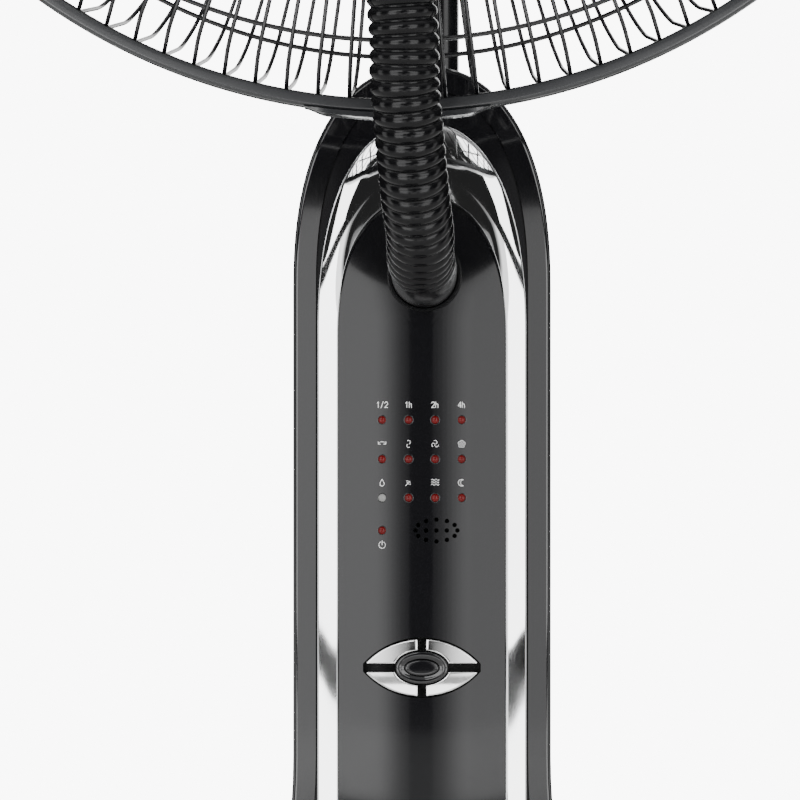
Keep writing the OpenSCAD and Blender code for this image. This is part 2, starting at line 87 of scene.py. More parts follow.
# ---- Camera ----
def add_camera():
    data = bpy.data.cameras.new("camera")
    data.sensor_width = 36
    data.lens = 155.0
    data.shift_x = -0.06875
    data.clip_end = 30
    camera = bpy.data.objects.new("camera", data)
    camera.location = (0.0125, -1.35, 0.750)
    camera.rotation_euler = (math.radians(90), 0, 0)
    bpy.context.collection.objects.link(camera)
    bpy.context.scene.camera = camera


add_camera()


# ---- Materials ----
def principled(name, color, rough, metallic=0.0, **sockets):
    mat = bpy.data.materials.new(name)
    mat.use_nodes = True
    shader = mat.node_tree.nodes["Principled BSDF"]
    shader.inputs["Base Color"].default_value = (*color, 1)
    shader.inputs["Roughness"].default_value = rough
    shader.inputs["Metallic"].default_value = metallic
    for key, value in sockets.items():
        shader.inputs[key.replace("_", " ")].default_value = value
    return mat


def noise(mat, scale, detail=4, stretch=(1, 1, 1)):
    """A noise texture in the object's own coordinates."""
    nodes, links = mat.node_tree.nodes, mat.node_tree.links
    place = nodes.new("ShaderNodeTexCoord")
    mapping = nodes.new("ShaderNodeMapping")
    mapping.inputs["Scale"].default_value = stretch
    texture = nodes.new("ShaderNodeTexNoise")
    texture.inputs["Scale"].default_value = scale
    texture.inputs["Detail"].default_value = detail
    links.new(place.outputs["Object"], mapping.inputs["Vector"])
    links.new(mapping.outputs["Vector"], texture.inputs["Vector"])
    return texture


def ranged(mat, source, low, high, socket):
    """The noise, taken from low to high, drives one socket."""
    nodes, links = mat.node_tree.nodes, mat.node_tree.links
    spread = nodes.new("ShaderNodeMapRange")
    spread.inputs["From Min"].default_value = 0.3
    spread.inputs["From Max"].default_value = 0.7
    spread.inputs["To Min"].default_value = low
    spread.inputs["To Max"].default_value = high
    links.new(source.outputs["Fac"], spread.inputs["Value"])
    links.new(spread.outputs["Result"], nodes["Principled BSDF"].inputs[socket])


def tinted(mat, source, first, second):
    """The noise mixes two colours into the base colour."""
    nodes, links = mat.node_tree.nodes, mat.node_tree.links
    ramp = nodes.new("ShaderNodeValToRGB")
    ramp.color_ramp.elements[0].position = 0.35
    ramp.color_ramp.elements[0].color = (*first, 1)
    ramp.color_ramp.elements[1].position = 0.65
    ramp.color_ramp.elements[1].color = (*second, 1)
    links.new(source.outputs["Fac"], ramp.inputs["Fac"])
    links.new(ramp.outputs["Color"], nodes["Principled BSDF"].inputs["Base Color"])


def bumped(mat, source, strength, distance):
    """The noise raises the surface slightly."""
    nodes, links = mat.node_tree.nodes, mat.node_tree.links
    bump = nodes.new("ShaderNodeBump")
    bump.inputs["Strength"].default_value = strength
    bump.inputs["Distance"].default_value = distance
    links.new(source.outputs["Fac"], bump.inputs["Height"])
    links.new(bump.outputs["Normal"], nodes["Principled BSDF"].inputs["Normal"])


def gloss_black(name, rough=0.06, wave=0.02, color=(0.006, 0.006, 0.007)):
    """Polished black ABS or enamel: faint waves, faint haze."""
    mat = principled(name, color, rough, Coat_Weight=0.3, Coat_Roughness=0.03)
    ranged(mat, noise(mat, 60, 5), rough * 0.8, rough * 1.5, "Roughness")
    bumped(mat, noise(mat, 9, 2), wave, 0.002)
    return mat


def matte_black(name, color=(0.012, 0.012, 0.013), rough=0.45, grain=0.12, **sockets):
    mat = principled(name, color, rough, **sockets)
    ranged(mat, noise(mat, 120, 4), rough * 0.85, rough * 1.2, "Roughness")
    bumped(mat, noise(mat, 1400, 3), grain, 0.0002)
    return mat


def metal(name, color, rough, grain=0.05, stretch=(1, 1, 1), scale=400):
    mat = principled(name, color, rough, 1.0)
    source = noise(mat, scale, 5, stretch)
    ranged(mat, source, rough * 0.7, rough * 1.4, "Roughness")
    bumped(mat, source, grain, 0.0002)
    return mat


def plain_plastic(name, color, rough=0.4):
    mat = principled(name, color, rough)
    tinted(mat, noise(mat, 30, 4), [0.9 * c for c in color], [min(1, 1.06 * c) for c in color])
    bumped(mat, noise(mat, 900, 3), 0.08, 0.0002)
    return mat


def lens_material(name, color):
    mat = principled(name, color, 0.10, Specular_IOR_Level=0.22)
    tinted(mat, noise(mat, 500, 3), [0.75 * c for c in color], color)
    return mat


def tank_material():
    mat = principled("tank_clear", (0.30, 0.36, 0.42), 0.12, Transmission_Weight=0.55, IOR=1.49)
    ranged(mat, noise(mat, 40, 4), 0.08, 0.2, "Roughness")
    bumped(mat, noise(mat, 25, 2), 0.03, 0.002)
    return mat


LOOKS = {
    "black_gloss": gloss_black("black_gloss"),
    "panel_gloss": gloss_black("panel_gloss", 0.05, 0.01),
    "black_matte": matte_black("black_matte"),
    "hose": matte_black("hose", (0.004, 0.004, 0.0045), 0.15, 0.01, Specular_IOR_Level=0.22),
    "rubber": matte_black("rubber", (0.02, 0.02, 0.02), 0.7, 0.3),
    "chrome": metal("chrome", (0.90, 0.905, 0.91), 0.035, 0.004, scale=30),
    "keys": metal("keys", (0.9, 0.9, 0.9), 0.07, 0.01),
    "wire": gloss_black("wire_enamel", 0.16, 0.05),
    "band": gloss_black("ring_enamel", 0.20, 0.03, (0.02, 0.021, 0.023)),
    "steel": metal("steel", (0.55, 0.55, 0.56), 0.3, 0.1),
    "aluminium": metal("aluminium", (0.58, 0.59, 0.60), 0.42, 0.3, scale=700),
    "brass": metal("brass", (0.68, 0.48, 0.22), 0.35, 0.1),
    "iron": metal("iron", (0.16, 0.16, 0.165), 0.6, 0.5, scale=300),
    "winding": metal("winding", (0.45, 0.22, 0.09), 0.4, 0.6, (1, 8, 1), 900),
    "pcb": plain_plastic("pcb", (0.02, 0.16, 0.06), 0.35),
    "white_plastic": plain_plastic("white_plastic", (0.75, 0.75, 0.72), 0.4),
    "tank": tank_material(),
    "blade": gloss_black("blade_smoke", 0.12, 0.03, (0.022, 0.025, 0.03)),
    "lens_red": lens_material("lens_red", (0.115, 0.003, 0.003)),
    "lens_clear": lens_material("lens_clear", (0.27, 0.27, 0.265)),
    "marks": plain_plastic("marks", (0.9, 0.9, 0.9), 0.5),
    # Near-black and rough, darker than any finish here: painted shade for the dark inside of holes and gaps.
    "painted_hole_shade": matte_black("painted_hole_shade", (0.0015, 0.0015, 0.0015), 0.9, 0.05),
}
SLOT_LOOK = {"steel_black": "wire"}


def carry_over():
    """Every CAD node that stays gets the finish of its material slot."""
    for entry in frame["record"]["subparts"]:
        node = frame["nodes"][entry["node"]]
        look = SLOT_LOOK.get(entry["material_slot"], entry["material_slot"])
        node.data.materials.clear()
        node.data.materials.append(LOOKS[look])


carry_over()


# ---- Mesh helpers ----
def finish_mesh(name, verts, faces, look, body, nodes=(), smooth=True, sharp=None):
    """A piece from its mesh: its look, the body it rides and the CAD nodes it stands for."""
    mesh = bpy.data.meshes.new(name)
    mesh.from_pydata([tuple(v) for v in verts], [], faces)
    mesh.validate()
    grown = bmesh.new()
    grown.from_mesh(mesh)
    bmesh.ops.remove_doubles(grown, verts=grown.verts, dist=1e-7)
    bmesh.ops.recalc_face_normals(grown, faces=grown.faces)
    grown.to_mesh(mesh)
    grown.free()
    mesh.polygons.foreach_set("use_smooth", [smooth] * len(mesh.polygons))
    if sharp is not None:
        mesh.set_sharp_from_angle(angle=math.radians(sharp))
    mesh.materials.append(LOOKS[look])
    piece = bpy.data.objects.new(name, mesh)
    bpy.context.collection.objects.link(piece)
    if body:
        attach(piece, body)
    if nodes:
        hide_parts(*nodes)
    return piece


def skin(loops, closed=True, cap_first=True, cap_last=True):
    """Vertices and faces between loops of equal length."""
    n = len(loops[0])
    verts = [p for loop in loops for p in loop]
    faces = []
    for i in range(len(loops) - 1):
        for k in range(n if closed else n - 1):
            after = (k + 1) % n
            faces.append((i * n + k, i * n + after, (i + 1) * n + after, (i + 1) * n + k))
    if cap_first:
        faces.append(tuple(range(n)))
    if cap_last:
        faces.append(tuple((len(loops) - 1) * n + k for k in reversed(range(n))))
    return verts, faces


def lathe(profile, steps=96, axis="Y", centre=(0, 0, 0), closed=False):
    """Profile points are (radius, place along the axis) in millimetres."""
    verts, faces = [], []
    m = len(profile)
    for s in range(steps):
        a = 2 * math.pi * s / steps
        for r, t in profile:
            if axis == "Y":
                p = (centre[0] + r * math.cos(a), centre[1] + t, centre[2] + r * math.sin(a))
            else:
                p = (centre[0] + r * math.cos(a), centre[1] + r * math.sin(a), centre[2] + t)
            verts.append(Vector(p) * MM)
    for s in range(steps):
        e = (s + 1) % steps
        for k in range(m if closed else m - 1):
            after = (k + 1) % m
            faces.append((s * m + k, s * m + after, e * m + after, e * m + k))
    return verts, faces


def rounded(points, radius, steps):
    """A polyline with its inner corners rounded to about that radius."""
    out = [Vector(points[0])]
    for a, b, c in zip(points, points[1:], points[2:]):
        a, b, c = Vector(a), Vector(b), Vector(c)
        into, away = (a - b), (c - b)
        cut = min(radius, into.length * 0.45, away.length * 0.45)
        p, q = b + into.normalized() * cut, b + away.normalized() * cut
        for i in range(steps + 1):
            t = i / steps
            out.append((1 - t) ** 2 * p + 2 * t * (1 - t) * b + t * t * q)
    out.append(Vector(points[-1]))
    return out


def normals_along(points):
    """Two normals of the path at each point, turned as little as possible."""
    tangents = []
    for i in range(len(points)):
        a, b = points[max(i - 1, 0)], points[min(i + 1, len(points) - 1)]
        tangents.append((b - a).normalized())
    side = Vector((1, 0, 0))
    if abs(tangents[0].dot(side)) > 0.9:
        side = Vector((0, 0, 1))
    out = []
    for t in tangents:
        side = (side - t * side.dot(t)).normalized()
        out.append((side, t.cross(side)))
    return out


def tube(points, radius, sides):
    """Loops round a path; radius is a number or a list, in the same unit as the points."""
    turns = [2 * math.pi * k / sides for k in range(sides)]
    loops = []
    for i, (p, (u, v)) in enumerate(zip(points, normals_along(points))):
        r = radius[i] if isinstance(radius, list) else radius
        loops.append([p + r * (math.cos(a) * u + math.sin(a) * v) for a in turns])
    return loops


def flat_loop(outline, y):
    """An (x, z) outline as a loop at one depth."""
    return [Vector((x, y, z)) * MM for x, z in outline]


def draped(outline, surface, lift=0.0):
    """An (x, z) outline as a loop on a surface, moved back by lift."""
    return [Vector((x, surface(x, z) + lift, z)) * MM for x, z in outline]


def mirrored(side):
    """The right side of an outline, and its mirror image after it."""
    return side + [(-x, z) for x, z in reversed(side[:-1])]


def carve(piece, tool_name, verts, faces):
    """Cuts a solid out of a piece, and applies all the piece's modifiers."""
    tool = finish_mesh(tool_name, verts, faces, "painted_hole_shade", None, smooth=False)
    cut = piece.modifiers.new("cut", "BOOLEAN")
    cut.operation, cut.solver, cut.object = "DIFFERENCE", "EXACT", tool
    mesh = bpy.data.meshes.new_from_object(piece.evaluated_get(bpy.context.evaluated_depsgraph_get()))
    piece.modifiers.clear()
    piece.data = mesh
    bpy.data.objects.remove(tool)


def joined(parts):
    """Several (verts, faces) as one."""
    verts, faces = [], []
    for v, f in parts:
        base = len(verts)
        verts += v
        faces += [tuple(i + base for i in face) for face in f]
    return verts, faces


def smooth_path(points, step):
    """A smooth curve through the points, as points about step apart."""
    p = [Vector(q) for q in points]
    p = [2 * p[0] - p[1]] + p + [2 * p[-1] - p[-2]]
    fine = []
    for i in range(1, len(p) - 2):
        for k in range(24):
            t = k / 24
            a, b, c, d = p[i - 1], p[i], p[i + 1], p[i + 2]
            fine.append(0.5 * ((2 * b) + (c - a) * t + (2 * a - 5 * b + 4 * c - d) * t * t
                               + (3 * b - a - 3 * c + d) * t ** 3))
    fine.append(p[-2])
    along = np.concatenate([[0], np.cumsum([(b - a).length for a, b in zip(fine, fine[1:])])])
    at = np.linspace(0, along[-1], max(2, round(along[-1] / step) + 1))
    xyz = [np.interp(at, along, [q[k] for q in fine]) for k in range(3)]
    return [Vector([float(c) for c in q]) for q in zip(*xyz)], at


# ---- Mist hose ----
HOSE_ROUTE = [
    (1, -52, 797), (1, -58.5, 797), (1, -75, 797.5), (1, -90, 798.8), (0, -103, 801.5), (0, -113, 805),
    (0, -123, 810), (-1, -133, 817.5), (-2, -142, 827), (-3, -149, 838), (-4, -154.5, 849), (-5, -158.5, 861),
    (-5, -161, 874), (-6, -163, 890), (-6, -165.5, 910), (-7, -169, 932), (-7, -172.5, 955), (-7, -176, 980),
    (-8, -179.8, 1005), (-8, -183.4, 1028), (-8, -184.8, 1040), (-8, -185, 1050.5)]
HOSE_R, HOSE_PITCH, HOSE_VALLEY = 12.25, 5.0, 1.7
CUFF_LENGTH = 46.0
BEND_FROM, RISE_FROM = 55, 125


def add_hose():
    """One corrugated hose in three lengths: the last rides the head; the first two ride no body."""
    path, along = smooth_path(HOSE_ROUTE, HOSE_PITCH / 12)
    radius = []
    for s in along:
        wave = abs(math.cos(math.pi * s / HOSE_PITCH)) ** 0.7
        fade = clipped((s - CUFF_LENGTH) / 3)
        radius.append(float(HOSE_R - HOSE_VALLEY * (1 - wave) * fade))
    loops = [[q * MM for q in loop] for loop in tube(path, radius, 56)]
    cuts = [0, *(int(np.searchsorted(along, s)) for s in (BEND_FROM, RISE_FROM)), len(path) - 1]
    pieces, lines = [], []
    for i, (a, b) in enumerate(zip(cuts, cuts[1:])):
        verts, faces = skin(loops[a:b + 1], cap_first=i == 0, cap_last=i == 2)
        name = ("hose_foot", "hose_bend", "hose_rise")[i]
        pieces.append(finish_mesh(name, verts, faces, "hose", "head" if i == 2 else None,
                                  ("mist_hose",) if i == 2 else ()))
        lines.append([p * MM for p in path[a:b + 1]])
    foot, bend, rise = pieces
    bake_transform(foot)
    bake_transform(bend)


add_hose()


# ---- Control column ----
def arch_side(half, rise, top, n=26):
    """The right half of an arch's curve, from its springing to its top."""
    out = []
    for i in range(n + 1):
        a = math.pi / 2 * i / n
        out.append((half * abs(math.cos(a)) ** ARCH_POWER, top - rise + rise * math.sin(a) ** ARCH_POWER))
    return out


def column_half(z):
    """Half the column's width, which grows below the flare's top."""
    t = clipped((FLARE_Z - z) / (FLARE_Z - HOUSING_TOP))
    return COLUMN_HALF + (FLARE_HALF - COLUMN_HALF) * ease(t)


def column_outline(off):
    """The column's outline, in by off: from the right foot over the arch to the left foot."""
    legs = [(column_half(z) - off, z) for z in np.linspace(HOUSING_TOP, FLARE_Z, 30)]
    legs += [(COLUMN_HALF - off, z) for z in np.linspace(FLARE_Z + 20, COLUMN_TOP - COLUMN_RISE - 8, 8)]
    return mirrored(legs + arch_side(COLUMN_HALF - off, COLUMN_RISE - off, COLUMN_TOP - off))


# Below this height the column's face is closed again.
OPENING_FOOT = 602


def panel_opening():
    """The opening under the panel, with as many points as the column's outline."""
    half, rise, top = PANEL_HALF - 2, PANEL_RISE - 2, PANEL_TOP - 2
    legs = [*np.linspace(HOUSING_TOP, FLARE_Z, 30), *np.linspace(FLARE_Z + 20, top - rise - 8, 8)]
    return mirrored([(half, z) for z in legs] + arch_side(half, rise, top))


def add_column():
    """A front and a rear shell; the front one has a groove and a flat band round the trim."""
    edge_r, shoulder = 2, -45.45
    front = [(9.4, COLUMN_FACE), (9.4, -46.9), (9.0, -46.9), (8.9, -47.7), (8.7, COLUMN_FACE)]
    front += [(8.7 - 6.7 * t, COLUMN_FACE + 0.45 * t) for t in np.linspace(0.06, 1, 8)]
    front += [(edge_r - edge_r * sind(a), shoulder - edge_r * cosd(a)) for a in np.linspace(8, 90, 9)]
    front += [(0.0, -40.0), (0.0, -20.0), (0.0, -0.7), (0.5, -0.2)]
    loops = [flat_loop(column_outline(off), y) for off, y in front]
    verts, faces = skin(loops, cap_first=False, cap_last=False)
    n, start = len(loops[0]), len(verts)
    opening = panel_opening()
    verts += flat_loop(opening, COLUMN_FACE)
    faces += [(start + k, k, k + 1, start + k + 1) for k in range(n - 1)]
    faces.append(tuple(start + k for k in reversed(range(n)) if opening[k][1] <= OPENING_FOOT))
    finish_mesh("column_front_shell", verts, faces, "black_gloss", "stand",
                ("column_front",), sharp=40)
    rear_r, rear_y = 12, 33
    rear = [(0.5, 0.2), (0.0, 0.7), (0.0, rear_y)]
    rear += [(rear_r - rear_r * cosd(a), rear_y + rear_r * sind(a)) for a in np.linspace(8, 90, 10)]
    verts, faces = skin([flat_loop(column_outline(off), y) for off, y in rear], cap_first=False)
    finish_mesh("column_rear_shell", verts, faces, "black_gloss", "stand",
                ("column_rear",), sharp=40)


def trim_outline(t):
    """Between the trim's outer edge at 0 and the panel's edge at 1."""
    half = TRIM_HALF + (PANEL_HALF + 0.1 - TRIM_HALF) * t
    rise = TRIM_RISE + (PANEL_RISE - TRIM_RISE) * t
    top = TRIM_TOP + (PANEL_TOP + 0.1 - TRIM_TOP) * t
    legs = [(half, z) for z in np.linspace(PANEL_FOOT, top - rise - 4, 24)]
    return mirrored(legs + arch_side(half, rise, top, 40))


def trim_face_y(t, width):
    """Depth of the trim's face at the share t of its width: sloped, and crowned where it is wide."""
    wide = clipped((width - 8.6) / 14)
    drop = 1.75 * (width / 8) ** 0.18
    crown = 0.2 + 0.9 * ease(wide)
    y = -50.35 + drop * (1 - t) - crown * math.sin(math.pi * t ** (1 - 0.15 * wide))
    return y + 0.35 * max(0.0, 1 - t / 0.04) ** 2


def add_trim():
    """The chrome arch; where the profile says no depth, the depth is the face's."""
    outer, inner = trim_outline(0), trim_outline(1)
    widths = [(Vector(a) - Vector(b)).length for a, b in zip(outer, inner)]
    profile = [(0.0, COLUMN_FACE), (0.0, -48.3)]
    profile += [(t, None) for t in (0.0, 0.015, 0.04, *np.linspace(0.08, 0.92, 22), 0.94)]
    profile += [(0.95, -50.25), (0.967, -49.95), (0.985, -49.5), (1.0, -49.2), (1.0, COLUMN_FACE)]
    loops = []
    for t, depth in profile:
        loop = []
        for (x, z), w in zip(trim_outline(float(t)), widths):
            y = trim_face_y(t, w) if depth is None else depth
            loop.append(Vector((x, y, z)) * MM)
        loops.append(loop)
    loops.append(loops[0])
    verts, faces = skin(loops, closed=False, cap_first=False, cap_last=False)
    foot, n = len(outer), len(profile)
    faces.append(tuple(i * foot for i in range(n)))
    faces.append(tuple(i * foot + foot - 1 for i in reversed(range(n))))
    finish_mesh("chrome_arch", verts, faces, "chrome", "stand", ("chrome_trim",), sharp=50)


# ---- Control panel ----
LED_X = (-15, -5, 5, 15)
LED_Z = (742.5, 727.7, 713.1)
CLEAR_LED = (LED_X[0], LED_Z[2])
POWER = (-15, 700.8)
BUZZER = (5.5, 700.8)
KEY_HALF_W, KEY_HALF_H = 23.0, 11.0
PANEL_BACK = -48.0


def panel_y(x, z):
    """Depth of the panel's surface: crowned across, and falling back at the top."""
    crown = 1.9 * (1 - (x / PANEL_HALF) ** 2)
    over = max(0.0, z - 780) / 45
    return -49.0 - crown * (1 - 0.55 * min(1, over)) + 0.9 * over ** 2


def panel_outline(share):
    """The panel's outline, shrunk about its own middle line."""
    half, rise, top = PANEL_HALF * share, PANEL_RISE * share, PANEL_TOP - (1 - share) * PANEL_RISE
    legs = [(half, z) for z in np.linspace(PANEL_FOOT, top - rise - 2, 90)]
    return mirrored(legs + arch_side(half, rise, top, 40))


def panel_cutters():
    """Prisms for the sound holes, the keys' pocket and the hose collar."""
    def prism(points):
        return skin([flat_loop(points, y) for y in (-56, -44)])

    def disc(x, z, r, steps):
        return [(x + r * math.cos(2 * math.pi * k / steps), z + r * math.sin(2 * math.pi * k / steps))
                for k in range(steps)]

    prisms = [prism(disc(x, z, 0.85, 16)) for x, z in sound_holes()]
    prisms.append(prism(key_oval(0.45)))
    prisms.append(prism(disc(HOSE_HOLE_X, HOSE_HOLE_Z, 13.75, 64)))
    return prisms


def sound_holes():
    """An oval ring of holes with a short row inside."""
    x, z = BUZZER
    ring = [(x + 7.9 * cosd(a), z + 4.1 * sind(a)) for a in range(0, 360, 30)]
    return ring + [(x + dx, z) for dx in (-3.9, 0, 3.9)]


def key_oval(grow, n=28):
    """The pointed oval round the keys: two arcs that meet at blunt tips."""
    w, h = KEY_HALF_W + grow, KEY_HALF_H + grow
    radius = (w * w + h * h) / (2 * h)
    upper = []
    reach = math.asin(w / radius)
    for i in range(n + 1):
        a = -reach + 2 * reach * i / n
        upper.append((radius * math.sin(a), radius * math.cos(a) - (radius - h)))
    upper = upper[1:-1]
    return [(x, KEYS_Z + z) for x, z in upper] + [(x, KEYS_Z - z) for x, z in reversed(upper)]


def add_panel():
    """A crowned shell: a low edge, then loops that shrink to the panel's middle line."""
    steps = 28
    shares = [math.sin(math.pi / 2 * i / steps) for i in range(steps, 0, -1)]
    rim = panel_outline(shares[0])
    rows = [flat_loop(rim, PANEL_BACK), flat_loop(rim, PANEL_BACK - 0.4)]
    rows += [draped(panel_outline(share), panel_y) for share in shares]
    n = len(rim)
    verts = [p for loop in rows for p in loop]
    faces = []
    for i in range(len(rows) - 1):
        for k in range(n - 1):
            faces.append((i * n + k, i * n + k + 1, (i + 1) * n + k + 1, (i + 1) * n + k))
    last = (len(rows) - 1) * n
    for k in range(n // 2):
        a, b = last + k, last + n - 1 - k
        if b - a > 1:
            faces.append((a, a + 1, b - 1, b) if b - a > 2 else (a, a + 1, b))
    panel = finish_mesh("panel_face", verts, faces, "panel_gloss", "stand",
                        ("control_panel",), sharp=50)
    solid = panel.modifiers.new("thick", "SOLIDIFY")
    solid.thickness = 1.2 * MM
    solid.offset = -1
    verts, faces = joined(panel_cutters())
    carve(panel, "panel_tool", verts, faces)


# ---- Lenses and printed marks ----
def add_lenses():
    """Domed 3 mm lenses, each in a shallow dark seat."""
    leds = [(x, z) for x in LED_X for z in LED_Z]
    for name, slot_name, nodes, places in (
            ("lens_red", "lens_red", ("led_lenses",), [place for place in leds if place != CLEAR_LED]),
            ("lens_clear", "lens_clear", ("power_lens",), [CLEAR_LED]),
            ("lens_power", "lens_red", (), [POWER])):
        parts = []
        for x, z in places:
            y = panel_y(x, z)
            dome = [(0.001, -0.75), (0.5, -0.72), (0.95, -0.58), (1.3, -0.32), (1.5, -0.02), (1.55, 0.6),
                    (1.55, 1.6)]
            parts.append(lathe([(r, y + t) for r, t in dome], 28, "Y", (x, 0, z)))
        verts, faces = joined(parts)
        finish_mesh(name, verts, faces, slot_name, "stand", nodes, sharp=60)
    rims = []
    for x, z in leds + [POWER]:
        y = panel_y(x, z)
        rim = [(1.56, 1.0), (1.56, -0.06), (1.66, -0.12), (1.84, -0.05), (1.86, 0.3)]
        rims.append(lathe([(r, y + t) for r, t in rim], 28, "Y", (x, 0, z)))
    verts, faces = joined(rims)
    finish_mesh("lens_rims", verts, faces, "panel_gloss", "stand", sharp=60)


def printed(outlines, name):
    """Thin marks: flat strokes just above the panel's surface, with sides that reach into it."""
    strokes = [skin([draped(outline, panel_y, lift) for lift in (-0.03, 0.05)], cap_last=False)
               for outline in outlines]
    verts, faces = joined(strokes)
    finish_mesh(name, verts, faces, "marks", "stand", smooth=False)


LINE = 0.24


def stroke(points, width=LINE):
    """A polyline as one quad for each of its legs."""
    out = []
    for (x0, z0), (x1, z1) in zip(points, points[1:]):
        d = Vector((x1 - x0, z1 - z0)).normalized() * width / 2
        out.append([(x0 - d.x + d.y, z0 - d.y - d.x), (x1 + d.x + d.y, z1 + d.y - d.x),
                    (x1 + d.x - d.y, z1 + d.y + d.x), (x0 - d.x - d.y, z0 - d.y + d.x)])
    return out


def arc_points(cx, cz, r, a0, a1, n=14):
    """Points on a circle from the angle a0 to a1, in degrees."""
    turns = [a0 + (a1 - a0) * i / n for i in range(n + 1)]
    return [(cx + r * cosd(a), cz + r * sind(a)) for a in turns]


DIGITS = {
    "1": [[(0.2, 1.6), (0.6, 2), (0.6, 0)]],
    "2": [[(0, 1.6), (0.3, 2), (0.8, 2), (1, 1.6), (1, 1.2), (0, 0), (1, 0)]],
    "4": [[(0.8, 0), (0.8, 2), (0, 0.6), (1.1, 0.6)]],
    "/": [[(0.1, -0.1), (0.9, 2.1)]],
    "h": [[(0, 0), (0, 2)], [(0, 1.1), (0.35, 1.35), (0.8, 1.2), (0.8, 0)]],
}


def written(text, x, z, size):
    """Strokes of a short number, centred on x."""
    advance = 1.45 * size / 2
    x0 = x - advance * (len(text) - 0.3) / 2
    out = []
    for i, sign in enumerate(text):
        for line in DIGITS[sign]:
            out += stroke([(x0 + i * advance + px * size / 2, z + (pz - 1) * size / 2) for px, pz in line])
    return out


def icon_fan(x, z, r, blades):
    out = []
    for i in range(blades):
        a = 90 + 360 * i / blades
        out += stroke(arc_points(x + 0.5 * r * cosd(a), z + 0.5 * r * sind(a), 0.5 * r, a - 150, a + 30, 8))
    return out


def icon_swing(x, z, r):
    out = stroke(arc_points(x, z - r * 0.5, r, 30, 150))
    for s in (-1, 1):
        tip = (x + s * r * cosd(30), z)
        out += stroke([(tip[0] - s * 0.05, tip[1] + 0.75), tip, (tip[0] - s * 0.8, tip[1] - 0.05)])
    return out


def icon_drop(x, z, r):
    side = [(0.0, 1.0), (0.35, 0.35), (0.6, -0.2), (0.5, -0.7), (0.0, -1.0)]
    return stroke([(x + r * px, z + r * pz) for px, pz in mirrored(side)])


def icon_leaf(x, z, r):
    out = stroke(arc_points(x - r * 0.6, z - r * 0.6, r * 1.3, 0, 90))
    out += stroke(arc_points(x + r * 0.7, z + r * 0.7, r * 1.3, 180, 270))
    return out + stroke([(x - r, z - r), (x + 0.4 * r, z + 0.4 * r)], 0.2)


def icon_moon(x, z, r):
    return stroke(arc_points(x, z, r, 60, 300)) + stroke(arc_points(x + 0.55 * r, z, r * 0.87, 95, 265))


def icon_waves(x, z, r):
    out = []
    for row in (-0.5, 0.15, 0.8):
        wave = [(i / 12, 0.18 * math.sin(math.pi * i / 3)) for i in range(13)]
        out += stroke([(x - r + 2 * r * t, z + r * (row + rise)) for t, rise in wave], 0.22)
    return out


def icon_power(x, z, r):
    return stroke(arc_points(x, z, r, 120, 420), 0.26) + stroke([(x, z + 0.1 * r), (x, z + 1.25 * r)], 0.26)


MARK_LIFT = 5.7


def add_marks():
    """Numbers over the timer lenses and plain pictograms over the others."""
    outlines = []
    for x, text in zip(LED_X, ("1/2", "1h", "2h", "4h")):
        outlines += written(text, x, LED_Z[0] + MARK_LIFT, 2.1)
    row = LED_Z[1] + MARK_LIFT
    outlines += icon_swing(LED_X[0], row, 1.7)
    for x, blades in zip(LED_X[1:], (2, 3, 5)):
        outlines += icon_fan(x, row, 1.35, blades)
    row = LED_Z[2] + MARK_LIFT
    outlines += icon_drop(LED_X[0], row, 1.35) + icon_leaf(LED_X[1], row, 1.1)
    outlines += icon_waves(LED_X[2], row, 1.4) + icon_moon(LED_X[3], row, 1.25)
    outlines += icon_power(POWER[0], POWER[1] - MARK_LIFT + 0.2, 1.25)
    printed(outlines, "panel_marks")


# ---- Keys ----
KEY_GAP = 1.5
SURROUND_W, SURROUND_H = 9.9, 6.2
OFF_W, OFF_H = 6.5, 3.1
KEY_FACE, KEY_FOOT, SURROUND_FOOT = -50.2, -47.5, -47.0


def key_y(x, z):
    """The keys share one low dome."""
    return KEY_FACE - 1.0 * (1 - (x / KEY_HALF_W) ** 2) - 0.6 * (1 - ((z - KEYS_Z) / KEY_HALF_H) ** 2)


def off_key_y(x, z):
    return key_y(x, z) - 0.25


def oval_points(half_w, half_h, n=48):
    """An ellipse about the middle of the keys."""
    turns = [2 * math.pi * i / n for i in range(n)]
    return [(half_w * math.cos(a), KEYS_Z + half_h * math.sin(a)) for a in turns]


def quadrant_sides(across, out):
    """One key's outline in four sides: inner oval, edge to the tip, outer arc back, edge to the oval."""
    w, h = KEY_HALF_W - 0.1, KEY_HALF_H - 0.1
    radius = (w * w + h * h) / (2 * h)
    inner_w, inner_h = SURROUND_W + 0.35, SURROUND_H + 0.35
    tip = math.sqrt(radius ** 2 - (KEY_GAP + radius - h) ** 2)
    first, last = math.acos(KEY_GAP / inner_w), math.asin(KEY_GAP / inner_h)
    turns = [first + (last - first) * i / across for i in range(across + 1)]
    line = [(inner_w * math.cos(a), inner_h * math.sin(a)) for a in turns]
    start = line[-1][0]
    line += [(start + (tip - 0.9 - start) * j / out, KEY_GAP) for j in range(1, out + 1)]
    low, high = math.asin((tip - 0.5) / radius), math.asin((KEY_GAP + 0.25) / radius)
    for i in range(across):
        a = low + (high - low) * i / (across - 1)
        line.append((radius * math.sin(a), radius * math.cos(a) - (radius - h)))
    top, foot = line[-1][1] - 0.3, line[0][1]
    line += [(KEY_GAP, top + (foot - top) * j / out) for j in range(1, out)]
    return line


def inset(outline, amount):
    """The outline moved inwards along its own normals."""
    n = len(outline)
    area2 = sum(a[0] * b[1] - b[0] * a[1] for a, b in zip(outline, outline[1:] + outline[:1]))
    sign = 1 if area2 > 0 else -1
    out = []
    for i in range(n):
        a, b = Vector(outline[i - 1]), Vector(outline[(i + 1) % n])
        d = (b - a).normalized()
        out.append((outline[i][0] - sign * d.y * amount, outline[i][1] + sign * d.x * amount))
    return out


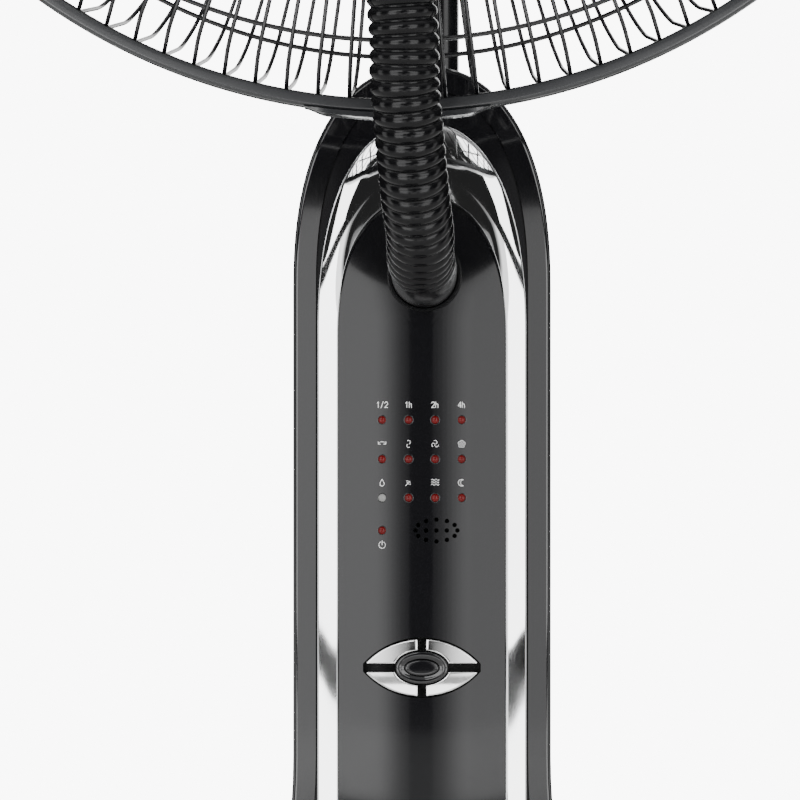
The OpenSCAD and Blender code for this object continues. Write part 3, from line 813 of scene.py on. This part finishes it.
def edged(outline, surface, low, edge):
    """Loops of a cap: a straight side, then a rounded edge up to the surface."""
    loops = [flat_loop(outline, low), draped(outline, surface, edge)]
    for a in (18, 36, 54, 72, 90):
        push, drop = edge * (1 - cosd(a)), edge * (1 - sind(a))
        loops.append(draped(inset(outline, push), surface, drop))
    return loops


def coons(a, b, c, d, i, j, u, v):
    """A point of the patch between four sides: a and c run with u, b and d run with v."""
    return [(1 - v) * a[i][k] + v * c[i][k] + (1 - u) * d[j][k] + u * b[j][k]
            - (1 - u) * (1 - v) * a[0][k] - u * (1 - v) * a[-1][k] - (1 - u) * v * c[0][k]
            - u * v * c[-1][k] for k in (0, 1)]


def key_cap(name, sx, sz):
    """One of the four keys: its top is a patch between its four sides."""
    across, out = 18, 14
    sides = quadrant_sides(across, out)
    outline = [(sx * x, KEYS_Z + sz * z) for x, z in sides]
    edge = 0.7
    loops = edged(outline, key_y, KEY_FOOT, edge)
    verts, faces = skin(loops, cap_last=False)
    rim = inset(outline, edge)
    a, b = rim[:across + 1], rim[across:across + out + 1]
    c = rim[across + out:2 * across + out + 1][::-1]
    d = (rim[2 * across + out:] + [rim[0]])[::-1]
    top = (len(loops) - 1) * len(outline)
    index = {}
    for i in range(across + 1):
        for j in range(out + 1):
            u, v = i / across, j / out
            if j == 0:
                index[i, j] = top + i
            elif i == across:
                index[i, j] = top + across + j
            elif j == out:
                index[i, j] = top + across + out + (across - i)
            elif i == 0:
                index[i, j] = top + 2 * across + out + (out - j)
            else:
                x, z = coons(a, b, c, d, i, j, u, v)
                index[i, j] = len(verts)
                verts.append(Vector((x, key_y(x, z), z)) * MM)
    for i in range(across):
        for j in range(out):
            faces.append((index[i, j], index[i + 1, j], index[i + 1, j + 1], index[i, j + 1]))
    finish_mesh(name + "_cap", verts, faces, "keys", name, (name,), sharp=60)


def off_cap():
    """The oval key in the middle."""
    outline, edge = oval_points(OFF_W, OFF_H), 0.8
    loops = edged(outline, off_key_y, KEY_FOOT, edge)
    for share in (0.8, 0.55, 0.3, 0.1):
        line = [(share * x, KEYS_Z + share * (z - KEYS_Z)) for x, z in inset(outline, edge)]
        loops.append(draped(line, off_key_y))
    verts, faces = skin(loops)
    finish_mesh("off_key_cap", verts, faces, "panel_gloss", "off_key", ("off_key",), sharp=60)


def key_surround():
    """The oval frame between the keys and the oval key."""
    foot = oval_points(SURROUND_W, SURROUND_H)
    loops = [flat_loop(foot, SURROUND_FOOT)]
    for grow, lift in ((0, 0.5), (-0.12, 0.2), (-0.45, 0.0), (-1.6, 0.0), (-2.0, 0.25)):
        loops.append(draped(oval_points(SURROUND_W + grow, SURROUND_H + grow), key_y, lift))
    well = oval_points(OFF_W + 0.3, OFF_H + 0.3)
    loops += [draped(well, key_y, 0.6), flat_loop(well, SURROUND_FOOT)]
    verts, faces = skin(loops, cap_first=False, cap_last=False)
    finish_mesh("key_surround_cap", verts, faces, "panel_gloss", "stand",
                ("key_surround",), sharp=45)


def painted_shade_plate(name, outline, depths):
    """A near-black plate behind an opening of the panel: painted shade for the dark inside of the opening."""
    verts, faces = skin([flat_loop(outline, y) for y in depths])
    finish_mesh(name, verts, faces, "painted_hole_shade", "stand", smooth=False)


def add_keys():
    for name, sx, sz in (("key_top_left", -1, 1), ("key_top_right", 1, 1),
                         ("key_bottom_left", -1, -1), ("key_bottom_right", 1, -1)):
        key_cap(name, sx, sz)
    off_cap()
    key_surround()
    # Near-black plates behind the keys' pocket and the sound holes: painted shade seen through the gaps and
    # holes.
    painted_shade_plate("key_gap_shade_plate", key_oval(1.2), (-46.2, -45.4))
    painted_shade_plate("sound_hole_shade_plate", [(-9, 694), (20, 694), (20, 708), (-9, 708)], (-47.6, -47.2))


# ---- Hose collar ----
def add_collar():
    profile = [(12.4, -44.0), (12.4, -53.6), (12.65, -54.0), (13.1, -54.0), (13.4, -53.6), (13.4, -51.3),
               (13.7, -50.9), (14.1, -50.6), (14.2, -50.2), (14.2, -49.0), (13.6, -48.0), (13.6, -44.0)]
    verts, faces = lathe(profile, 96, "Y", (HOSE_HOLE_X, 0, HOSE_HOLE_Z), closed=True)
    finish_mesh("hose_collar", verts, faces, "hose", "stand", ("hose_cuff",), sharp=45)


# ---- Guards ----
WIRES = 120
WIRE_R = 0.78
RIM_WIRE, RING_WIRE = 2.4, 1.75
FRONT_LINE = [(217.6, -123.2), (208, -141.5), (192.3, -146.4), (42, -167.3)]
REAR_LINE = [(217.6, -120.8), (210, -79), (198, -62), (59, -52)]


def round_the_fan(points, angle):
    """Points of (distance from the axis, depth), turned to an angle from straight down."""
    return [Vector((FAN.x + r * math.sin(angle), y, FAN.z - r * math.cos(angle))) * MM for r, y in points]


def guard_wires(line, radius):
    """The wires of one guard; the last, long leg of each is cut in four, so that it shades evenly."""
    bent = [(p.x, p.y) for p in rounded(line, radius, 6)]
    (r0, y0), (r1, y1) = bent[-2:]
    bent = bent[:-1] + [(r0 + (r1 - r0) * k / 4, y0 + (y1 - y0) * k / 4) for k in range(1, 5)]
    turns = [2 * math.pi * (k + 0.5) / WIRES for k in range(WIRES)]
    return [skin(tube(round_the_fan(bent, a), WIRE_R * MM, 8)) for a in turns]


def spun(profile, closed=True, steps=160):
    """A profile turned about the fan's axis."""
    return lathe(profile, steps, "Y", (FAN.x, 0, FAN.z), closed=closed)


def wire_ring(r, y, thick):
    turns = [2 * math.pi * k / 10 for k in range(10)]
    return spun([(r + thick / 2 * math.cos(a), y + thick / 2 * math.sin(a)) for a in turns], steps=240)


def guard(name, node, line, bend, rim_y, rings, plate):
    """One guard: wires, the rim they are welded to, thinner rings and the plate in the middle."""
    parts = guard_wires(line, bend)
    parts.append(wire_ring(218, rim_y, RIM_WIRE))
    parts += [wire_ring(r, y, RING_WIRE) for r, y in rings]
    parts.append(spun(plate))
    verts, faces = joined(parts)
    finish_mesh(name, verts, faces, "wire", "head", (node,), sharp=50)


def add_guards():
    guard("front_wires", "front_guard", FRONT_LINE, 6, -124,
          [(198, -143.0), (160, -149.3), (120, -154.9), (80, -160.4)],
          [(34, -168.3), (43.6, -168.3), (44, -167.9), (44, -166.7), (43.6, -166.3), (34, -166.3)])
    guard("rear_wires", "rear_guard", REAR_LINE, 9, -120,
          [(196, -63.2), (150, -59.9), (100, -56.3)],
          [(30, -52.2), (61.6, -52.2), (62, -51.8), (62, -49.9), (61.6, -49.5), (30, -49.5)])


def add_ring():
    """The band that clamps the two guards together, with rounded edges and a lip inwards."""
    front, back, lip, out, edge_r = RING_Y - 6, RING_Y + 6, RING_R - 4.7, RING_R, 1.4
    turns = range(0, 91, 15)
    profile = [(lip, front + 1.2), (lip, front + 0.5), (lip + 0.35, front)]
    profile += [(out - edge_r + edge_r * sind(a), front + edge_r - edge_r * cosd(a)) for a in turns]
    profile += [(out, RING_Y)]
    profile += [(out - edge_r + edge_r * cosd(a), back - edge_r + edge_r * sind(a)) for a in turns]
    profile += [(lip + 0.35, back), (lip, back - 0.5), (lip, back - 1.2), (out - 1.5, back - 1.2),
                (out - 1.5, front + 1.2)]
    verts, faces = spun(profile, steps=300)
    finish_mesh("ring_band", verts, faces, "band", "head", ("guard_ring",), sharp=45)


def add_ring_clip():
    """The joint cover at the bottom of the band, with two rivets; it rises from its two ends."""
    steps, reach = 40, 8.6
    loops = []
    for k in range(steps + 1):
        a = -reach + 2 * reach * k / steps
        lift = ease(min(1.0, (steps - k) / 5, k / 5))
        r0, r1 = RING_R + 0.05, RING_R + 0.3 + 1.6 * lift
        half = 6.2 + 1.2 * lift
        section = [(r0, -half), (r1 - 0.2, -half), (r1, -half + 0.5), (r1, half - 0.5), (r1 - 0.2, half),
                   (r0, half)]
        loops.append([Vector((FAN.x + r * sind(a), RING_Y + t, FAN.z - r * cosd(a))) * MM
                      for r, t in section])
    parts = [skin(loops)]
    for t in (-3.2, 3.2):
        parts.append(lathe([(0.01, 0.0), (1.7, 0.0), (2.1, 0.35), (2.1, 2.2)], 20, "Z",
                           (FAN.x, RING_Y + t, FAN.z - RING_R - 2.5)))
    verts, faces = joined(parts)
    finish_mesh("ring_clip", verts, faces, "band", "head", ("ring_clamp",), sharp=45)


# ---- Badge and nozzle ----
def add_badge():
    """The plain cap in the middle of the front guard, cut away for the nozzle's socket."""
    profile = [(0.01, -176.0), (14, -175.8), (26, -175.2), (33, -174.2), (37, -172.6), (39.4, -170.6),
               (40, -169.2), (40, -168.4), (0.01, -168.4)]
    verts, faces = spun(profile, closed=False, steps=128)
    badge = finish_mesh("badge_cap", verts, faces, "black_gloss", "head",
                        ("front_badge",), sharp=50)
    verts, faces = lathe([(0.01, 1004), (15.9, 1004), (15.9, FAN.z - 9.6), (0.01, FAN.z - 9.6)], 64, "Z",
                         (FAN.x, OUTLET_Y, 0))
    carve(badge, "badge_tool", verts, faces)


def spoke(angle, y, r):
    """A point round the fan's axis at an angle in degrees."""
    return (Vector((FAN.x, y, FAN.z)) + r * Vector((cosd(angle), 0, sind(angle)))) * MM


def add_nozzle():
    """The mist outlet with its grille, and the socket under it that holds the hose."""
    nose = [(13.6, -178.5), (13.8, -198.6), (14.6, -199.6), (16.2, -200.0), (17.6, -199.3), (18.6, -197.6),
            (19.0, -195.0), (19.0, -177.4), (18.6, -176.1), (0.01, -176.1), (0.01, -178.5)]
    grille_y, rod_r = -196.5, 0.6
    grille = [skin(tube([spoke(a, grille_y, s * 13.7) for s in (-1, 1)], rod_r * MM, 8))
              for a in range(0, 180, 30)]
    grille.append(spun([(5.4 + rod_r * cosd(b), grille_y + rod_r * sind(b)) for b in range(0, 360, 45)],
                       steps=40))
    verts, faces = joined([spun(nose, closed=False, steps=96)] + grille)
    finish_mesh("nozzle_nose", verts, faces, "black_matte", "head", ("mist_nozzle",), sharp=45)
    socket = [(12.5, -31.0), (13.4, -32.0), (14.8, -32.0), (15.5, -31.2), (15.5, -14), (14.8, -11.4),
              (12.4, -10.1), (0.01, -10.0), (0.01, -22.5), (12.5, -22.5)]
    verts, faces = lathe(socket, 72, "Z", (FAN.x, OUTLET_Y, FAN.z), closed=True)
    finish_mesh("nozzle_socket", verts, faces, "black_matte", "head", sharp=45)


# ---- Blade ----
BLADE_ROOT, BLADE_TIP, BLADE_Y = 27, 186, -94


def leaf_row(share, turn, cols=14):
    """One row of points round a leaf at a share of its length: the front side out, the rear side back."""
    r = BLADE_ROOT + (BLADE_TIP - BLADE_ROOT) * share
    swell = math.sin(math.pi * min(1, 0.28 + 0.62 * share)) ** 0.6
    round_off = math.sqrt(max(0.04, 1 - max(0, (share - 0.76) / 0.24) ** 2))
    half = math.radians(26 - 3 * share) * swell * round_off
    lean = math.radians(8 * math.sin(1.6 * share))
    pitch = math.radians(34 - 16 * share)
    top, under = [], []
    for j in range(cols + 1):
        w = 2 * j / cols - 1
        a = lean + half * w + turn
        depth = BLADE_Y + r * half * w * math.sin(pitch) * 0.62 + 4.5 * (1 - w * w)
        thick = 0.35 + 0.95 * (1 - w ** 4) * (1 - 0.5 * share)
        for side, y in ((top, depth - thick), (under, depth + thick)):
            side.append(Vector((FAN.x + r * math.sin(a), y, FAN.z + r * math.cos(a))) * MM)
    return top + under[::-1]


def add_blade():
    """Five pitched leaves on a hub, and the nut in front of it."""
    rows = 28
    shares = [1 - (1 - i / rows) ** 1.5 for i in range(rows + 1)]
    parts = [skin([leaf_row(share, math.radians(72 * leaf)) for share in shares]) for leaf in range(5)]
    hub = [(4.05, -116.5), (10, -116.5), (20, -115.4), (27, -112.5), (29.4, -109), (30, -104), (30, -77),
           (29.4, -76), (27.2, -76), (27.2, -111), (4.05, -113)]
    parts.append(spun(hub, steps=96))
    verts, faces = joined(parts)
    finish_mesh("blade_leaves", verts, faces, "blade", "rotor", ("fan_blade",), sharp=50)
    nut = [(0.01, -128.0), (6, -127.2), (10.5, -125), (13.4, -121), (14.0, -117.6), (14.0, -116.6),
           (0.01, -116.6)]
    knurl = [skin(tube([spoke(a, y, 13.7) for y in (-120.6, -116.8)], 1.2 * MM, 8))
             for a in range(0, 360, 30)]
    verts, faces = joined([spun(nut, closed=False, steps=72)] + knurl)
    finish_mesh("blade_nut", verts, faces, "black_matte", "rotor", ("spinner_nut",), sharp=45)


# ---- Base and tank ----
def add_base():
    profile = [(14.4, 36.0), (150, 36.0), (172, 35.2), (184, 33.2), (192, 29.4), (197, 24.0), (199.4, 17.5),
               (200, 11), (200, 5.2), (199.2, 4.1), (196.9, 4.1), (196.9, 12), (193, 25), (178, 31),
               (14.4, 31.5)]
    verts, faces = lathe(profile, 160, "Z", (0, 0, 0), closed=True)
    finish_mesh("base_dome", verts, faces, "black_gloss", "stand", ("base_shell",), sharp=40)


def lies_in(edge, spans):
    """Whether an edge lies wholly in one of the spans of height, in millimetres."""
    return any(all(low * MM <= v.co.z <= high * MM for v in edge.verts) for low, high in spans)


def softened(node, body, look, width, spans=((0, 2000),)):
    """The CAD shape with the sharp edges rounded that lie in these spans of height."""
    source = frame["nodes"][node]
    grown = bmesh.new()
    grown.from_mesh(source.data)
    bmesh.ops.transform(grown, matrix=source.matrix_world, verts=grown.verts)
    bmesh.ops.remove_doubles(grown, verts=grown.verts, dist=1e-6)
    bmesh.ops.dissolve_limit(grown, angle_limit=math.radians(2), verts=grown.verts, edges=grown.edges)
    sharp = [e for e in grown.edges
             if len(e.link_faces) == 2 and e.calc_face_angle(0) > math.radians(35) and lies_in(e, spans)]
    bmesh.ops.bevel(grown, geom=sharp, offset=width * MM, segments=3, profile=0.5, affect="EDGES",
                    clamp_overlap=True)
    grown.verts.index_update()
    verts = [v.co.copy() for v in grown.verts]
    faces = [tuple(v.index for v in f.verts) for f in grown.faces]
    grown.free()
    finish_mesh(node + "_body", verts, faces, look, body, (node,), sharp=38)


housing_top = (HOUSING_TOP - 0.5, HOUSING_TOP + 0.5)
softened("tank_housing", "stand", "black_gloss", 4.0, (housing_top,))
softened("tank_handle", "tank", "black_matte", 2.6)
softened("water_tank", "tank", "tank", 6.0, ((71, 73), (337, 339)))
add_column()
add_trim()
add_panel()
add_lenses()
add_marks()
add_keys()
add_collar()
add_guards()
add_ring()
add_ring_clip()
add_badge()
add_nozzle()
add_blade()
add_base()


# ---- Light and stage ----
def area(name, place, aim, size, power):
    data = bpy.data.lights.new(name, "AREA")
    data.shape = "RECTANGLE"
    data.size, data.size_y = size
    data.energy = power
    data.spread = math.pi
    light = bpy.data.objects.new(name, data)
    light.location = place
    light.rotation_euler = (Vector(aim) - Vector(place)).to_track_quat("-Z", "Y").to_euler()
    bpy.context.collection.objects.link(light)


def add_stage():
    """A pale floor; its front edge is near enough for the panel not to mirror the floor."""
    verts = [(-40, -6.5, 0), (40, -6.5, 0), (40, 5, 0), (-40, 5, 0)]
    mesh = bpy.data.meshes.new("floor")
    mesh.from_pydata(verts, [], [(0, 1, 2, 3)])
    mesh.materials.append(principled("floor", (0.82, 0.82, 0.81), 0.7))
    floor = bpy.data.objects.new("floor", mesh)
    bpy.context.collection.objects.link(floor)


def add_world():
    """White behind the fan; for reflections and light, dark low down and pale above."""
    world = bpy.data.worlds.new("studio")
    bpy.context.scene.world = world
    world.use_nodes = True
    nodes, links = world.node_tree.nodes, world.node_tree.links
    back = nodes["Background"]
    back.inputs["Color"].default_value = (1.0, 1.0, 1.0, 1)
    place = nodes.new("ShaderNodeTexCoord")
    split = nodes.new("ShaderNodeSeparateXYZ")
    height = nodes.new("ShaderNodeMapRange")
    height.interpolation_type = "SMOOTHSTEP"
    height.inputs["From Min"].default_value = 0.35
    height.inputs["From Max"].default_value = 0.8
    height.inputs["To Min"].default_value = 0.02
    height.inputs["To Max"].default_value = 0.9
    links.new(place.outputs["Generated"], split.inputs["Vector"])
    links.new(split.outputs["Z"], height.inputs["Value"])
    links.new(height.outputs["Result"], back.inputs["Strength"])
    seen = nodes.new("ShaderNodeBackground")
    seen.inputs["Color"].default_value = (1.0, 1.0, 1.0, 1)
    seen.inputs["Strength"].default_value = 9.0
    rays = nodes.new("ShaderNodeLightPath")
    mix = nodes.new("ShaderNodeMixShader")
    links.new(rays.outputs["Is Camera Ray"], mix.inputs["Fac"])
    links.new(back.outputs["Background"], mix.inputs[1])
    links.new(seen.outputs["Background"], mix.inputs[2])
    links.new(mix.outputs["Shader"], nodes["World Output"].inputs["Surface"])


BOXES_Y = -1.9
STRIP_COUNT = 8
# name, left, right, bottom, top, radiance
FRONT_BOXES = (
    ("left_inner", -0.62, -0.32, 0.38, 0.97, 2.25),
    ("right_inner", 0.29, 0.62, 0.38, 0.97, 1.8),
    ("left_low", -1.8, -0.62, 0.02, 0.465, 5.0),
    ("left_mid", -1.8, -0.62, 0.515, 0.97, 5.5),
    ("left_upper", -1.8, -0.62, 1.10, 2.4, 4.8),
    ("left_top", -0.62, -0.15, 1.52, 2.4, 4.0),
    ("right_low", 0.62, 1.8, 0.02, 0.44, 5.0),
    ("right_outer", 0.62, 1.8, 0.515, 0.97, 5.5),
    ("right_upper", 0.62, 1.8, 1.10, 2.0, 4.8),
    ("right_top", 0.40, 0.62, 1.52, 1.9, 4.0),
    ("low", -0.3, 0.3, 0.02, 0.26, 3.0),
)


def front_box(name, x0, x1, z0, z1, radiance):
    """A softbox behind the camera, facing the fan; its place is given by its edges."""
    centre = ((x0 + x1) / 2, BOXES_Y, (z0 + z1) / 2)
    area(name, centre, (centre[0], 0, centre[2]), (x1 - x0, z1 - z0),
         math.pi * (x1 - x0) * (z1 - z0) * radiance)


def front_strips(side, start, full, peak):
    """A row of strips from start to full, brighter outwards, for the soft edge of the panel's reflection."""
    edges = [float(x) for x in np.linspace(start, full, STRIP_COUNT + 1)]
    for i, (x0, x1) in enumerate(zip(edges, edges[1:])):
        left, right = sorted((side * x0, side * x1))
        front_box("strip", left, right, 0.38, 0.97, peak * (0.12 + 0.88 * ease((i + 0.5) / STRIP_COUNT)))


def add_lights():
    front_strips(-1, 0.098, 0.32, 2.25)
    front_strips(1, 0.052, 0.29, 1.9)
    for box in FRONT_BOXES:
        front_box(*box)
    area("left_side", (-2.3, -0.4, 1.0), (0, 0, 0.8), (0.7, 1.8), 9)
    area("right_side", (2.3, -0.4, 1.0), (0, 0, 0.8), (0.7, 1.8), 7)
    area("top_fill", (0, 0.3, 3.0), (0, 0, 0.8), (1.2, 1.2), 12)
    area("rear_fill", (0.6, 2.6, 1.6), (0, 0, 0.8), (1.6, 1.4), 14)


add_stage()
add_world()
add_lights()
